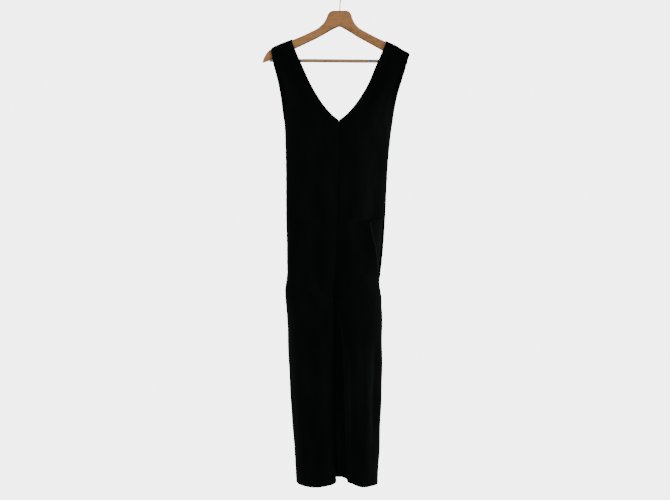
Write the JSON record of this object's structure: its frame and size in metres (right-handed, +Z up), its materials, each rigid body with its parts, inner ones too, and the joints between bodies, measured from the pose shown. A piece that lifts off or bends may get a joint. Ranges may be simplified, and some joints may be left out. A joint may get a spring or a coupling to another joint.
{
  "type": "jumpsuit on a clothes hanger",
  "caption": "Sleeveless jumpsuit with a deep V neckline, wide shoulder straps, slanted hip pockets and straight legs, hung on a bowed wooden clothes hanger with a trouser bar.",
  "frame": {"origin": "inside top of the hanger's hook, where a rail carries it", "axes": "+Z up along the plumb line, -Y to the garment's front, +X to the wearer's left"},
  "size_m": [0.4056, 0.1754, 1.4101],
  "materials": {
    "velvet": "matt black velvet with a soft sheen at its edges",
    "wood": "clear satin lacquer",
    "steel": "plated, softly polished"
  },
  "bodies": {
    "root": {"front_left": "velvet", "front_right": "velvet", "back_left": "velvet", "back_right": "velvet", "pocket_facing_left": "velvet", "pocket_facing_right": "velvet", "hanger_wood": "wood", "bar_dowel": "wood", "hanger_hook": "steel", "bar_sleeve_left": "steel", "bar_sleeve_right": "steel"}
  },
  "joints": []
}
